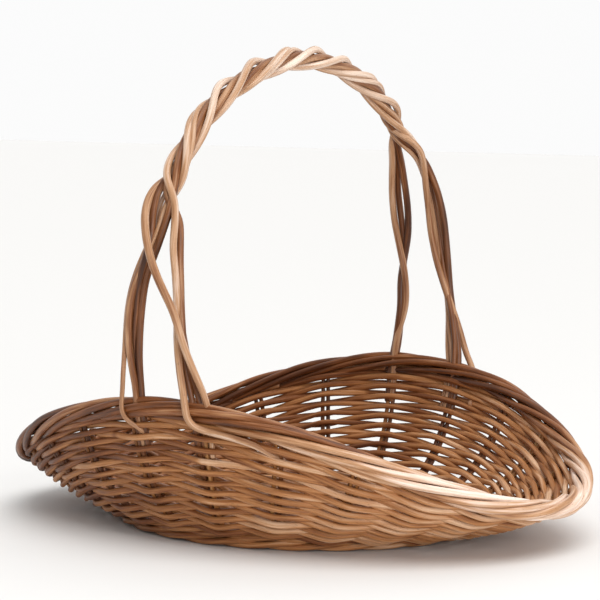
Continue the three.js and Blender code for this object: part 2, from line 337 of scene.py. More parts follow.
def add_node(
    tree: bpy.types.NodeTree, kind: str, links: dict[str | int, Any] | None = None, **settings: Any
) -> bpy.types.Node:
    """Adds a node, sets its properties and fills or links its inputs.

    Args:
        tree: The node tree.
        kind: The node's type name.
        links: Input name or index to a value, or to an output socket to link from.
        settings: Properties of the node itself.

    Returns:
        The new node.
    """
    node = tree.nodes.new(kind)
    for key, value in settings.items():
        setattr(node, key, value)
    for key, value in (links or {}).items():
        if isinstance(value, bpy.types.NodeSocket):
            tree.links.new(value, node.inputs[key])
        else:
            node.inputs[key].default_value = value
    return node


@dataclass(frozen=True)
class BuffWillow:
    """Willow boiled in its bark and then peeled, which stains it a warm tan to brown.

    The eye sees long pale and dark streaks along each rod, small dark flecks where buds sat,
    unlike tones from rod to rod, and a low, smooth lustre.

    Attributes:
        name: The material's name.
        stops: Tone to sRGB hex colour, from the darkest rods to the palest.
        roughness: The middle roughness.
        coat: The weight of the smooth outer layer that handling polishes.
        coat_roughness: That layer's roughness.
        ior: The refractive index, that of dry bast and wood.
        ridge_height: How high the fine ridges along the rod stand, in mm.
        ridge_strength: How much of that shows.
    """

    name: str
    stops: tuple[tuple[float, str], ...]
    roughness: float = 0.5
    coat: float = 0.08
    coat_roughness: float = 0.3
    ior: float = 1.42
    ridge_height: float = 0.22
    ridge_strength: float = 0.5

    def effects(self) -> dict[str, Effect]:
        """What each pattern does to the tone, the flecks, the roughness and the dents."""
        return {
            "streak_tone": Effect(Grain.STREAKS, 0.3, 0.7, -0.13, 0.13),
            "patch_tone": Effect(Grain.PATCHES, 0.3, 0.7, -0.2, 0.2),
            "fleck_share": Effect(Grain.FLECKS, 0.68, 0.76, 0.0, 0.4),
            "fleck_dent": Effect(Grain.FLECKS, 0.6, 0.75, 0.0, -0.5),
            "roughness": Effect(Grain.STREAKS, 0.3, 0.7, self.roughness - 0.07, self.roughness + 0.09),
        }

    def patterns(self, tree: bpy.types.NodeTree) -> tuple[dict[Grain, Any], dict[str, Any]]:
        """Adds the noise patterns and their effects.

        Args:
            tree: The material's node tree.

        Returns:
            The output socket of each pattern, and that of each effect.
        """
        place = add_node(tree, "ShaderNodeAttribute", attribute_name="grain").outputs["Vector"]
        noises = {}
        for grain in Grain:
            across, along, detail = grain.value
            scale = (1 / across, 1 / across, 1 / along)
            mapped = add_node(tree, "ShaderNodeMapping", {"Vector": place, "Scale": scale})
            inputs = {"Vector": mapped.outputs["Vector"], "Scale": 1.0, "Detail": detail, "Roughness": 0.6}
            noises[grain] = add_node(tree, "ShaderNodeTexNoise", inputs).outputs["Fac"]
        results = {}
        for name, effect in self.effects().items():
            inputs = {"Value": noises[effect.grain], **effect.inputs()}
            results[name] = add_node(tree, "ShaderNodeMapRange", inputs).outputs["Result"]
        return noises, results

    def build(self) -> bpy.types.Material:
        """Builds the node material.

        Returns:
            A material that reads the rods' own tone and grain attributes.
        """
        material = bpy.data.materials.new(self.name)
        material.use_nodes = True
        tree = material.node_tree
        tree.nodes.clear()
        noises, effects = self.patterns(tree)
        level = add_node(tree, "ShaderNodeAttribute", attribute_name="tone").outputs["Fac"]
        for name in ("streak_tone", "patch_tone"):
            level = add_node(tree, "ShaderNodeMath", {0: level, 1: effects[name]}, operation="ADD").outputs[0]
        ramp = add_node(tree, "ShaderNodeValToRGB", {"Fac": level})
        elements = ramp.color_ramp.elements
        while len(elements) < len(self.stops):
            elements.new(0.5)
        for element, (position, colour) in zip(elements, self.stops):
            element.position = position
            element.color = linear(colour)
        darkest = linear(self.stops[0][1])
        mixed = {"Factor": effects["fleck_share"], 6: ramp.outputs["Color"], 7: darkest}
        colour = add_node(tree, "ShaderNodeMix", mixed, data_type="RGBA")
        relief_parts = {0: noises[Grain.RIDGES], 1: effects["fleck_dent"]}
        relief = add_node(tree, "ShaderNodeMath", relief_parts, operation="ADD")
        bumps = {
            "Height": relief.outputs[0],
            "Strength": self.ridge_strength,
            "Distance": self.ridge_height * MM,
        }
        bump = add_node(tree, "ShaderNodeBump", bumps)
        surface = {
            "Base Color": colour.outputs[2],
            "Roughness": effects["roughness"],
            "IOR": self.ior,
            "Coat Weight": self.coat,
            "Coat Roughness": self.coat_roughness,
            "Normal": bump.outputs["Normal"],
        }
        shader = add_node(tree, "ShaderNodeBsdfPrincipled", surface)
        add_node(tree, "ShaderNodeOutputMaterial", {"Surface": shader.outputs["BSDF"]})
        return material


FINISHES = {
    # The weavers keep the bark's stain most evenly: a warm mid brown, hardly polished.
    Finish.SIDING: BuffWillow(
        "buff_willow_siding",
        ((0.0, "#41200A"), (0.3, "#7A451F"), (0.6, "#B27948"), (1.0, "#EAC7A6")),
        roughness=0.55,
    ),
    # The stakes' ramp is darker and duller than the siding's: painted shade, for where they lie in the
    # siding's shade.
    Finish.STAKE: BuffWillow(
        "buff_willow_stakes",
        ((0.0, "#3E1F0A"), (0.35, "#6B3C1A"), (0.7, "#996332"), (1.0, "#C99A64")),
        roughness=0.55,
    ),
    # The border is rubbed smooth; its ramp runs up to almost cream, which the painted light at the +X end
    # reaches.
    Finish.BORDER: BuffWillow(
        "buff_willow_border",
        ((0.0, "#48230B"), (0.3, "#824B22"), (0.6, "#BD8E66"), (1.0, "#F6E0D0")),
        roughness=0.47,
        coat=0.12,
    ),
    # Hands have polished the handle, so it has the clearest lustre.
    Finish.HANDLE: BuffWillow(
        "buff_willow_handle",
        ((0.0, "#46230C"), (0.3, "#7E4C28"), (0.6, "#BA8E69"), (1.0, "#F3DFCE")),
        roughness=0.43,
        coat=0.15,
    ),
    # The base is matt, with no polish.
    Finish.BASE: BuffWillow(
        "buff_willow_base",
        ((0.0, "#40230F"), (0.35, "#6A4020"), (0.7, "#946238"), (1.0, "#BE9264")),
        roughness=0.6,
        coat=0.0,
    ),
}


@cache
def material_of(finish: Finish) -> bpy.types.Material:
    """The finish's material, which is built once."""
    return FINISHES[finish].build()


def place_piece(rods: RodMesh, name: str, finish: Finish, nodes: list[str]) -> bpy.types.Object:
    """Makes a piece from its rods, gives it its finish and ties it to the frame.

    Args:
        rods: The swept rods.
        name: The piece's name.
        finish: Its finish.
        nodes: The frame's nodes that it stands for.

    Returns:
        The Blender object.
    """
    obj = rods.to_object(name)
    obj.data.materials.append(material_of(finish))
    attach(obj, "root")
    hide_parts(*nodes)
    LOG.info("%s: %d faces, stands for %s", name, len(obj.data.polygons), ", ".join(nodes))
    return obj


@dataclass(frozen=True)
class Wall:
    """The middle surface of the siding, in millimetres.

    In each radial plane it is a quadratic curve from the base's edge, out at first and then up,
    to an oval rim that is high at the sides and low at the ends.

    Attributes:
        half_length: The rim's half length.
        half_width: The rim's half width.
        side_height: The rim's height in the middle of the long sides.
        end_height: The rim's height at the ends.
        saddle: The power that shapes the rim's rise from the ends to the sides.
        base_half_length: The base's half length.
        base_half_width: The base's half width.
        middle_z: The height at which the wall leaves the base.
        bulge_end: How far out the curve's middle point lies at the ends, as a share of the flare.
        bulge_side: The same at the sides.
        bulge_rise: How far up that point lies, as a share of the rise.
        samples: How many straight pieces the curve is cut into when its length is measured.
        small_step: The step over which directions are measured.
    """

    half_length: float = 237.0
    half_width: float = 164.0
    side_height: float = 110.0
    end_height: float = 37.0
    saddle: float = 2.3
    base_half_length: float = 138.0
    base_half_width: float = 114.0
    middle_z: float = 7.0
    bulge_end: float = 0.58
    bulge_side: float = 0.81
    bulge_rise: float = 0.25
    samples: int = 64
    small_step: float = 0.004

    def curve(self, angle: Array, height: Array) -> Array:
        """The point at an angle round the oval and a curve height from 0 to 1.

        Args:
            angle: Angle round the oval, in radians from +X.
            height: The quadratic curve's own variable.

        Returns:
            Points, with X, Y and Z in the last axis.
        """
        side = np.abs(np.sin(angle)) ** self.saddle
        rim_z = mix(self.end_height, self.side_height, side)
        bulge = mix(self.bulge_end, self.bulge_side, side)
        middle = 2 * height * (1 - height)
        flare = middle * bulge + height**2
        rise = middle * self.bulge_rise + height**2
        x = np.cos(angle) * mix(self.base_half_length, self.half_length, flare)
        y = np.sin(angle) * mix(self.base_half_width, self.half_width, flare)
        z = self.middle_z + (rim_z - self.middle_z) * rise
        return np.stack([x, y, z], -1)

    def point(self, angle: Array, share: Array) -> Array:
        """The point at an angle and a share of the curve's length from base to rim.

        The curve is cut into short straight pieces, and the wanted length is found among them.

        Args:
            angle: Angle round the oval, in radians from +X.
            share: Share of the curve's length, from 0 at the base to 1 at the rim.

        Returns:
            Points, with X, Y and Z in the last axis.
        """
        angle, share = np.broadcast_arrays(np.asarray(angle, float), np.asarray(share, float))
        heights = np.linspace(0, 1, self.samples + 1)
        points = self.curve(angle[..., None], heights)
        steps = np.linalg.norm(np.diff(points, axis=-2), axis=-1)
        lengths = np.concatenate([np.zeros(angle.shape + (1,)), np.cumsum(steps, -1)], -1)
        wanted = share * lengths[..., -1]
        piece = np.clip((lengths <= wanted[..., None]).sum(-1) - 1, 0, self.samples - 1)
        low = np.take_along_axis(lengths, piece[..., None], -1)[..., 0]
        step = np.take_along_axis(steps, piece[..., None], -1)[..., 0]
        return self.curve(angle, (piece + (wanted - low) / step) / self.samples)

    def axes(self, angle: Array, share: Array) -> tuple[Array, Array, Array, Array]:
        """The wall's own directions, from the differences between near points on it.

        Args:
            angle: Angle round the oval, in radians from +X.
            share: Share of the curve's length from base to rim.

        Returns:
            Unit vectors along the wall, up it and out of it, and the mm along it per radian.
        """
        small = self.small_step
        along = self.point(angle + small, share) - self.point(angle - small, share)
        up = unit(self.point(angle, share + small) - self.point(angle, share - small))
        speed = np.linalg.norm(along, axis=-1) / (2 * small)
        along = unit(along)
        return along, up, unit(np.cross(along, up)), speed

    def beside(self, angle: float, share: float, along: float, out: float) -> Array:
        """The point that lies some mm along the wall from a place on it, and out of it.

        Args:
            angle: Angle round the oval of the place.
            share: Share of the curve's length of the place.
            along: Distance along the wall, in mm.
            out: Distance out of the wall, in mm.

        Returns:
            The point.
        """
        turned = np.array([angle])
        speed = self.axes(turned, np.array([share]))[3]
        return self.place(turned + along / speed, np.array([share]), out=np.array([out]))[0]

    def place(
        self, angle: Array, share: Array, along: Array = 0.0, up: Array = 0.0, out: Array = 0.0
    ) -> Array:
        """Points moved off the wall.

        Args:
            angle: Angle round the oval of each point.
            share: Share of the curve's length of each point.
            along: The distance that each point moves along the wall, in mm.
            up: The distance up the wall.
            out: The distance out of the wall.

        Returns:
            The moved points.
        """
        ways = self.axes(angle, share)
        moves = [np.broadcast_to(np.asarray(m, float), np.shape(angle))[..., None] for m in (along, up, out)]
        return self.point(angle, share) + sum(move * way for move, way in zip(moves, ways))


@dataclass(frozen=True)
class StakeRing:
    """Where the stakes stand: at even steps, with those of the far side leaning towards +X.

    Attributes:
        count: How many stakes there are.
        far_skew: How far the middle stakes of the far side lean, in radians.
    """

    count: int = 24
    far_skew: float = math.radians(4)

    def skewed(self, turn: Array) -> Array:
        """An angle moved towards +X by the skew times its sine, on the far side only."""
        return turn - self.far_skew * np.maximum(np.sin(turn), 0)

    def angle(self, place: Array) -> Array:
        """The angle of a stake by its number, or of a place between stakes."""
        return self.skewed(TURN * (np.asarray(place, float) + 0.5) / self.count)


WALL = Wall()
RING = StakeRing()
# The stakes beside which the handle's legs go down.
NEAR_LEGS = (17, 18)
FAR_LEGS = (6, 5)
# The grain pattern is moved by up to this many mm from rod to rod.
GRAIN_SHIFT = 90


@dataclass
class Base:
    """The oval base: slit cross sticks with long sticks through them, and pairing round both.

    Attributes:
        edge: Half the length and half the width of the oval at which the sticks would end.
        long_foot: Where the long sticks leave the crossing, in X.
        long_pitch: The distance between long sticks in the crossing.
        cross_foot: Where the cross sticks leave the crossing, in Y.
        cross_pitch: The distance between cross sticks in the crossing.
        reach: How far the sticks go, from 0 at the crossing to 1 at the edge.
        middle_z: The height of the sticks' middle.
        cross_radius: The cross sticks' radius.
        long_radius: The long sticks' radius.
        swell: How much thicker a cross stick is where it is slit, and over what distance.
        thinning: How much thinner a cross stick is at its ends, from where and over what distance.
        cross_turns: The angles of the cross sticks' far ends, in degrees.
        long_turns: The angles of the long sticks' +X ends, in degrees.
        stick_tones: The range of the sticks' tones.
        stick_points: How many points each half of a stick starts from, and their final distance.
        rounds: How many rounds of pairing there are.
        weaver_radius: The pairing rods' radius.
        clasp: How far a pairing rod's middle passes over a stick's surface, in its own radii, and
            how much less of its whole swing it has at the edge.
        crossing: How far outwards or inwards the rods of a pair pass each other, in their radii.
        weaver_wander: The period, in sticks, and the amount of their wandering.
        weaver_tones: The middle and the spread of the pairing rods' tones.
        steps: How many points a pairing rod has from one stick to the next.
        pairing_span: Where the pairing starts and ends, from 0 at the crossing to 1 at the edge.
        bind_radius: The binding rod's radius.
        bind_reach: Half the length that a binding covers.
        bind_turns: How often the binding goes round in a gap.
        bind_squareness: The power that flattens the binding's turns; 1 leaves them oval.
        seed: The seed of its chance.
    """

    edge: tuple[float, float] = (134.0, 110.0)
    long_foot: float = 38.0
    long_pitch: float = 6.2
    cross_foot: float = 14.0
    cross_pitch: float = 15.0
    reach: float = 0.9
    middle_z: float = 7.6
    cross_radius: float = 3.0
    long_radius: float = 2.6
    swell: tuple[float, float] = (1.0, 14.0)
    thinning: tuple[float, float, float] = (0.5, 40.0, 80.0)
    cross_turns: tuple[float, ...] = (150.0, 120.0, 90.0, 60.0, 30.0)
    long_turns: tuple[float, ...] = (-15.0, 0.0, 15.0)
    stick_tones: tuple[float, float] = (0.35, 0.6)
    stick_points: tuple[int, float] = (14, 5.0)
    rounds: int = 32
    weaver_radius: float = 1.65
    clasp: tuple[float, float] = (0.8, 0.12)
    crossing: float = 0.75
    weaver_wander: tuple[float, float] = (9.0, 0.25)
    weaver_tones: tuple[float, float] = (0.48, 0.12)
    steps: int = 6
    pairing_span: tuple[float, float] = (-0.02, 1.02)
    bind_radius: float = 1.3
    bind_reach: float = 3.2
    bind_turns: int = 3
    bind_squareness: float = 0.6
    seed: int = 5

    def feet(self) -> tuple[Array, Array]:
        """Where the sticks leave the crossing, in order round it.

        The first quarter is written out, and the others are its mirror images.

        Returns:
            The angles of the sticks' outer ends, from 0 to a full turn, and the points at which
            the sticks leave the crossing.
        """
        quarter = np.array(
            [
                [0.0, self.long_foot, 0.0],
                [15.0, self.long_foot, self.long_pitch],
                [30.0, 2 * self.cross_pitch, self.cross_foot],
                [60.0, self.cross_pitch, self.cross_foot],
                [90.0, 0.0, self.cross_foot],
            ]
        )
        half = np.vstack([quarter, quarter[-2::-1] * (-1, -1, 1) + (180, 0, 0)])
        whole = np.vstack([half, half[-2::-1] * (-1, 1, -1) + (360, 0, 0)])
        return np.radians(whole[:, 0]), whole[:, 1:]

    def place(self, spread: Array, turn: Array) -> Array:
        """A point on the straight line from the crossing to the oval edge at an angle.

        Args:
            spread: How far along the line, from 0 at the crossing to 1 at the edge.
            turn: The angle; the far side's outer ends lean towards +X as the stakes do.

        Returns:
            Points at the height of the sticks' middle.
        """
        angles, feet = self.feet()
        skewed = RING.skewed(turn)
        inner = np.stack([np.interp(turn, angles, feet[:, axis]) for axis in (0, 1)], -1)
        outer = np.stack([self.edge[0] * np.cos(skewed), self.edge[1] * np.sin(skewed)], -1)
        flat = mix(inner, outer, np.asarray(spread)[..., None])
        return np.concatenate([flat, np.full(flat.shape[:-1] + (1,), self.middle_z)], -1)

    def stick_path(self, first: float, last: float) -> Array:
        """A stick's middle line, with a bend on each side of the crossing.

        Args:
            first: The angle of one outer end, in degrees.
            last: The angle of the other.

        Returns:
            Points at even distances.
        """
        count, step = self.stick_points
        spread = np.linspace(self.reach, 0, count)
        start = self.place(spread, np.full(count, math.radians(first)))
        end = self.place(spread[::-1], np.full(count, math.radians(last)))
        return even_path(np.vstack([start, end]), step)

    def stick(
        self, name: str, node: str, path: Array, radius: float | Array, rng: np.random.Generator
    ) -> None:
        """Builds and dresses one stick.

        Args:
            name: The piece's name.
            node: The frame's node that it stands for.
            path: Its middle line.
            radius: Its radius, or that at each point.
            rng: The seeded source of chance.
        """
        rods = RodMesh(corners=10)
        rods.add(Rod.make(path, radius, UPWARDS, rng.uniform(*self.stick_tones)), rng.uniform(0, GRAIN_SHIFT))
        place_piece(rods, name, Finish.BASE, [node])

    def sticks(self, rng: np.random.Generator) -> None:
        """Builds the cross sticks, thick where they are slit, and the long sticks."""
        more, near = self.swell
        less, start, length = self.thinning
        for index, turn in enumerate(self.cross_turns, 1):
            path = self.stick_path(turn, 360.0 - turn)
            distance = np.abs(path[:, 1])
            thick = more * smooth(1 - distance / near) - less * smooth((distance - start) / length)
            radius = self.cross_radius + thick
            self.stick(f"cross_stick_rod_{index}", f"cross_stick_{index}", path, radius, rng)
        for index, turn in enumerate(self.long_turns, 1):
            path = self.stick_path(turn % 360, 180.0 - turn)
            self.stick(f"long_stick_rod_{index}", f"long_stick_{index}", path, self.long_radius, rng)

    def weave(self, rng: np.random.Generator) -> None:
        """Builds the pairing: two rods that go over and under each stick and cross between.

        Between stick number k and the next, a rod's height is A cos(pi k) off the middle, and
        its distance outwards is B sin(pi k); the other rod of the pair has both turned over.
        A grows a little smaller outwards, where the sticks are thinner.
        """
        angles = self.feet()[0]
        count = len(angles) - 1
        phase = np.linspace(0, count * self.rounds, count * self.rounds * self.steps + 1)
        turn = np.interp(phase % count, np.arange(count + 1), angles)
        growth = self.edge[0] - self.long_foot
        spread = np.linspace(*self.pairing_span, len(phase))
        clasp, loss = self.clasp
        rods = RodMesh(corners=6)
        for sign in (-1, 1):
            swing = (self.cross_radius + clasp * self.weaver_radius) * (1 - loss * spread)
            step = sign * self.crossing * self.weaver_radius * np.sin(np.pi * phase)
            step = step + wander(rng, phase, *self.weaver_wander)
            path = self.place(spread + step / growth, turn)
            path[:, 2] += sign * swing * np.cos(np.pi * phase)
            joints = np.sort(rng.uniform(0, phase[-1], 2 * self.rounds))
            tones = np.clip(rng.normal(*self.weaver_tones, len(joints) + 1), 0.15, 0.85)
            tone = tones[np.searchsorted(joints, phase)]
            rods.add(Rod.make(path, self.weaver_radius, UPWARDS, tone), rng.uniform(0, GRAIN_SHIFT))
        self.binding(rods, rng)
        place_piece(rods, "base_pairing", Finish.BASE, ["base_weave"])

    def binding(self, rods: RodMesh, rng: np.random.Generator) -> None:
        """Winds a rod round the long sticks in each gap between two cross sticks.

        A turn is a flat oval, h cos t across and v sin t up, with the cosine and the sine held
        flat by a power below 1 so that the rod lies close to the sticks.

        Args:
            rods: The mesh that takes the rods.
            rng: The seeded source of chance.
        """
        turn = np.linspace(0, self.bind_turns * TURN, self.bind_turns * 20 + 1)
        waves = (np.cos(turn), np.sin(turn))
        flat = [np.sign(wave) * np.abs(wave) ** self.bind_squareness for wave in waves]
        half_width = self.long_pitch + self.long_radius + self.weaver_radius - 0.3
        half_height = self.long_radius + self.weaver_radius - 0.2
        for gap in (-1.5, -0.5, 0.5, 1.5):
            x = self.cross_pitch * gap + np.linspace(-self.bind_reach, self.bind_reach, len(turn))
            path = np.stack([x, half_width * flat[0], self.middle_z + half_height * flat[1]], -1)
            tone = rng.uniform(*self.stick_tones)
            rods.add(Rod.make(path, self.bind_radius, SIDEWAYS, tone), rng.uniform(0, GRAIN_SHIFT))

    def build(self) -> None:
        """Builds the whole base."""
        rng = np.random.default_rng(self.seed)
        self.sticks(rng)
        self.weave(rng)


@dataclass
class FootWale:
    """The stout ring that the basket stands on: rounds of three-rod waling round the stakes.

    Each of a round's three rods passes outside two stakes and then inside the third, so the
    three together look like a rope laid round the base.

    Attributes:
        heights: The height of each round's middle.
        outs: How far outside the base's edge each round's middle lies.
        ring: How far a rod swings outwards and upwards.
        radius: The rods' radius.
        wandering: The period, in stakes, and the amount of their wandering in height.
        tones: The range of the rods' tones.
        steps: How many points a rod has from one stake to the next.
        seed: The seed of its chance.
    """

    heights: tuple[float, ...] = (4.9, 10.6)
    outs: tuple[float, ...] = (2.6, 4.4)
    ring: tuple[float, float] = (3.4, 2.0)
    radius: float = 2.45
    wandering: tuple[float, float] = (7.0, 0.2)
    tones: tuple[float, float] = (0.25, 0.6)
    steps: int = 8
    seed: int = 71

    def build(self) -> None:
        """Builds the rounds.

        A rod's offset is a cosine outwards and a sine upwards, one turn for three stakes, and
        no rod goes below the ground.
        """
        rng = np.random.default_rng(self.seed)
        rods = RodMesh(corners=8)
        place = np.linspace(0, RING.count, RING.count * self.steps + 1)[:-1]
        angle = RING.angle(place)
        edge = WALL.curve(angle, np.zeros(len(angle)))
        slope = [np.cos(angle) / WALL.base_half_length, np.sin(angle) / WALL.base_half_width, 0 * angle]
        outward = unit(np.stack(slope, -1))
        for height, out in zip(self.heights, self.outs):
            for third in range(3):
                turn = TURN * (place - third) / 3
                path = edge + outward * (out + self.ring[0] * np.cos(turn))[:, None]
                rise = height + self.ring[1] * np.sin(turn) + wander(rng, place, *self.wandering)
                path[:, 2] = np.maximum(rise, self.radius + 0.05)
                rod = Rod.make(path, self.radius, outward, rng.uniform(*self.tones))
                rods.add(rod, rng.uniform(0, GRAIN_SHIFT))
        place_piece(rods, "foot_waling", Finish.SIDING, ["foot_wale"])


@dataclass
class Stakes:
    """Upright rods of the siding, two side by side at each place.

    Attributes:
        radius: The rods' radius.
        spacing: How far each rod of a pair lies from the pair's middle.
        tail: How far inwards the tail goes along the base.
        top: The share of the wall's length at which a rod ends, inside the border.
        wandering: The period, as a share of the wall's length, and the amount of their bends.
        taper: The radius at the tail and at the top, as shares of the radius.
        tones: The range of the rods' tones.
        points: How many points a rod has up the wall.
        seed: The seed of its chance.
    """

    radius: float = 1.85
    spacing: float = 2.3
    tail: float = 14.0
    top: float = 0.95
    wandering: tuple[float, float] = (1.3, 0.45)
    taper: tuple[float, float] = (1.06, 0.9)
    tones: tuple[float, float] = (0.2, 0.75)
    points: int = 40
    seed: int = 11

    def build(self) -> None:
        """Builds one piece for each stake: a straight tail, then the wall's own curve."""
        rng = np.random.default_rng(self.seed)
        share = np.linspace(0, self.top, self.points)
        for index in range(RING.count):
            rods = RodMesh(corners=8)
            angle = RING.angle(index)
            for side in (-1, 1):
                foot = WALL.place(angle, 0.0, along=side * self.spacing)
                inward = unit(np.array([-foot[0], -foot[1], 0.0]))
                tail = foot + inward * np.linspace(self.tail, 1.5, 4)[:, None]
                along = side * self.spacing + wander(rng, share, *self.wandering)
                wall_part = WALL.place(np.full(self.points, angle), share, along=along)
                path = np.vstack([tail, wall_part[1:]])
                radius = self.radius * np.linspace(*self.taper, len(path))
                rod = Rod.make(path, radius, WALL.axes(angle, 0.4)[0], rng.uniform(*self.tones))
                rods.add(rod, rng.uniform(0, GRAIN_SHIFT))
            place_piece(rods, f"stake_pair_{index + 1}", Finish.STAKE, [f"stake_{index + 1}"])


@dataclass
class Siding:
    """Rows of randing: each rod passes outside one stake and inside the next.

    Attributes:
        rows: How many rows there are.
        first: The share of the wall's length at which the first row lies.
        last: The share at which the last row lies.
        radius: The rods' middle radius.
        amplitude: How far a rod swings out of the wall's middle and into it.
        sharpness: How straight a rod runs between stakes, below 1.
        droop: How far a rod sinks and rises beside a stake where the rows part most.
        parting: How much the rows part everywhere, more on the far side, and more at the legs.
        far_edge: How far before the far half the second of these begins, as a sine, and the span
            over which it grows.
        leg_width: How far the last of these reaches, in stakes.
        tight: From what share of the wall's length the rows lie tight, and over what share.
        starts: The first stake at which a row may start, the stakes from one row's start to the
            next one's, and how many stakes there are to start at.
        gap: The middle distance between stakes, in mm.
        tuck: The share of that distance over which a row's end turns inwards.
        part_wander: The period in mm and the amount of the parting's unevenness.
        lift_wander: The same for the height of a rod.
        out_wander: The same for its swing.
        thickness_wander: The same for its thickness.
        tones: The middle and the spread of the rods' tones.
        steps: How many points a rod has from one stake to the next.
        frame_rows: How many rows the frame has.
        seed: The seed of its chance.
    """

    rows: int = 23
    first: float = 0.115
    last: float = 0.9
    radius: float = 2.42
    amplitude: float = 3.5
    sharpness: float = 0.94
    droop: float = 1.9
    parting: tuple[float, float, float] = (0.12, 0.52, 0.85)
    far_edge: tuple[float, float] = (0.35, 0.45)
    leg_width: float = 0.42
    tight: tuple[float, float] = (0.98, 0.25)
    starts: tuple[int, int, int] = (14, 3, 8)
    gap: float = 45.0
    tuck: float = 0.35
    part_wander: tuple[float, float] = (170.0, 0.5)
    lift_wander: tuple[float, float] = (230.0, 0.35)
    out_wander: tuple[float, float] = (130.0, 0.25)
    thickness_wander: tuple[float, float] = (600.0, 0.08)
    tones: tuple[float, float] = (0.47, 0.1)
    steps: int = 12
    frame_rows: int = 14
    seed: int = 23

    def openness(self, place: Array) -> Array:
        """How far the rows part beside a stake, from 0 to 1.

        It is most on the far side and beside the near stakes that also hold the handle's ends,
        where it follows a bell curve.
        """
        far = smooth((np.sin(RING.angle(place)) + self.far_edge[0]) / self.far_edge[1])
        apart = [(place - leg + RING.count / 2) % RING.count - RING.count / 2 for leg in NEAR_LEGS]
        legs = sum(np.exp(-((distance / self.leg_width) ** 2)) for distance in apart)
        everywhere, more_far, more_legs = self.parting
        return np.minimum(everywhere + more_far * far + more_legs * legs, 1.0)

    def row_start(self, index: int) -> int:
        """The near-side stake at which a row starts: one that the row passes inside."""
        first, step, count = self.starts
        start = first + (step * index) % count
        return start + 1 if (start + index) % 2 == 0 else start

    def row(self, index: int, share: float, radius: float, rng: np.random.Generator) -> Rod:
        """One row, once round the basket, its ends side by side inside a stake.

        Across the wall the rod follows asin(k cos(pi p)) / asin(k), p being its place in stakes:
        nearly straight between stakes, and rounded where it bends round one. Up the wall it
        follows cos^2(pi p): it sinks where it is outside a stake and rises where it is inside,
        so wedge-shaped gaps open beside the stakes and close between them.

        Args:
            index: The row's number from the base; even and odd rows pass opposite ways.
            share: How far up the wall the row lies.
            radius: The rod's radius in mm.
            rng: The seeded source of chance.

        Returns:
            The row's rod.
        """
        since = np.linspace(0, RING.count, RING.count * self.steps + 1)
        place = self.row_start(index) + since
        angle = RING.angle(place)
        cosine = np.cos(np.pi * place) * (1 if index % 2 == 0 else -1)
        wave = np.arcsin(self.sharpness * cosine) / math.asin(self.sharpness)
        length = since * self.gap
        openness = self.openness(place) * (1.0 + wander(rng, length, *self.part_wander))
        openness = openness * smooth((self.tight[0] - share) / self.tight[1])
        lift = -self.droop * openness * cosine * np.abs(cosine) + wander(rng, length, *self.lift_wander)
        out = self.amplitude * wave + wander(rng, length, *self.out_wander)
        ends = smooth(1 - since / self.tuck) - smooth(1 - (RING.count - since) / self.tuck)
        out = out - 1.1 * radius * np.abs(ends)
        lift = lift + radius * ends
        path = WALL.place(angle, np.full(len(place), share), up=lift, out=out)
        joints = np.sort(rng.uniform(0, length[-1], 3))
        tones = np.clip(rng.normal(*self.tones, len(joints) + 1), 0.15, 0.8)
        tone = tones[np.searchsorted(joints, length)]
        thickness = radius * (1 + wander(rng, length, *self.thickness_wander))
        return Rod.make(path, thickness, WALL.axes(angle, share)[2], tone)

    def build(self) -> None:
        """Builds the rows, grouped by the frame's row that each lies nearest to.

        Each row lies one radius of its own and one of the row below above that row.
        """
        rng = np.random.default_rng(self.seed)
        radii = self.radius * rng.uniform(0.88, 1.12, self.rows)
        centres = np.cumsum(radii) + np.cumsum(np.r_[0, radii[:-1]])
        heights = (centres - centres[0]) / (centres[-1] - centres[0])
        shares = self.first + (self.last - self.first) * heights
        groups = [RodMesh(corners=8) for _ in range(self.frame_rows)]
        for index, (height, share, radius) in enumerate(zip(heights, shares, radii)):
            nearest = round(height * (self.frame_rows - 1))
            groups[nearest].add(self.row(index, share, radius, rng), rng.uniform(0, GRAIN_SHIFT))
        for number, rods in enumerate(groups, 1):
            place_piece(rods, f"siding_rods_{number}", Finish.SIDING, [f"siding_row_{number}"])


